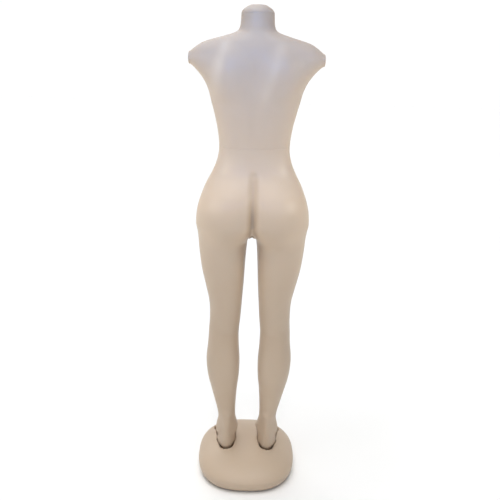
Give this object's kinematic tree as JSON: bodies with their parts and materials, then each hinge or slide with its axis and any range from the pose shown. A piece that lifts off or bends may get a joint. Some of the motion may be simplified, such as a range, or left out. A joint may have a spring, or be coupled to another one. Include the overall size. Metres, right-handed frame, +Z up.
{
  "type": "full body mannequin",
  "caption": "Headless, armless female display mannequin with hollow plastic upper and lower halves joined at the waist, standing on pegs in the foot wells of a weighted domed base.",
  "frame": {"origin": "on the floor, under the middle of the base", "axes": "+Z up; the figure faces -Y, so its back is towards +Y; +X is the figure's left side"},
  "size_m": [0.4126, 0.392, 1.556],
  "materials": {
    "cream_plastic": "satin cream polyethylene",
    "base_plastic": "satin cream polyethylene",
    "fitting_plastic": "moulded off-white",
    "plated_steel": "zinc plated",
    "painted_steel": "black powder coat",
    "black_rubber": "matte"
  },
  "bodies": {
    "base": {"base_cover": "base_plastic", "base_plate": "painted_steel", "base_screw_1": "plated_steel", "base_screw_2": "plated_steel", "base_screw_3": "plated_steel", "base_screw_4": "plated_steel", "base_screw_5": "plated_steel", "base_screw_6": "plated_steel", "rubber_foot_1": "black_rubber", "rubber_foot_2": "black_rubber", "rubber_foot_3": "black_rubber", "rubber_foot_4": "black_rubber", "heel_peg_left": "plated_steel", "heel_peg_right": "plated_steel", "peg_washer_left": "plated_steel", "peg_washer_right": "plated_steel", "peg_nut_left": "plated_steel", "peg_nut_right": "plated_steel"},
    "legs": {"lower_body_shell": "cream_plastic", "hip_plate": "fitting_plastic", "heel_socket_left": "fitting_plastic", "heel_socket_right": "fitting_plastic"},
    "swivel": {"waist_swivel": "fitting_plastic", "swivel_washer": "plated_steel", "swivel_nut": "plated_steel"},
    "torso": {"torso_shell": "cream_plastic", "torso_plate": "fitting_plastic", "tenon_socket": "fitting_plastic", "socket_screw_1": "plated_steel", "socket_screw_2": "plated_steel", "socket_screw_3": "plated_steel", "socket_screw_4": "plated_steel", "neck_socket": "fitting_plastic", "arm_socket_left": "fitting_plastic", "arm_socket_right": "fitting_plastic"},
    "neck_cap": {"neck_cap": "cream_plastic"},
    "arm_cap_left": {"arm_cap_left": "cream_plastic"},
    "arm_cap_right": {"arm_cap_right": "cream_plastic"}
  },
  "joints": [
    {"name": "figure_lift", "type": "slide", "parent": "base", "child": "legs", "axis": [0, 0, 1], "range_m": [0, 0.08]},
    {"name": "waist_turn", "type": "hinge", "parent": "legs", "child": "swivel", "pos_m": [0, -0.01337, 1.1358], "axis": [0, 0, 1], "continuous": true},
    {"name": "torso_lift", "type": "slide", "parent": "swivel", "child": "torso", "axis": [0, 0, 1], "range_m": [0, 0.05]},
    {"name": "neck_cap_pull", "type": "slide", "parent": "torso", "child": "neck_cap", "axis": [0, 0, 1], "range_m": [0, 0.03]},
    {"name": "arm_cap_left_pull", "type": "slide", "parent": "torso", "child": "arm_cap_left", "axis": [1, 0, 0], "range_m": [0, 0.03]},
    {"name": "arm_cap_right_pull", "type": "slide", "parent": "torso", "child": "arm_cap_right", "axis": [-1, 0, 0], "range_m": [0, 0.03]}
  ]
}
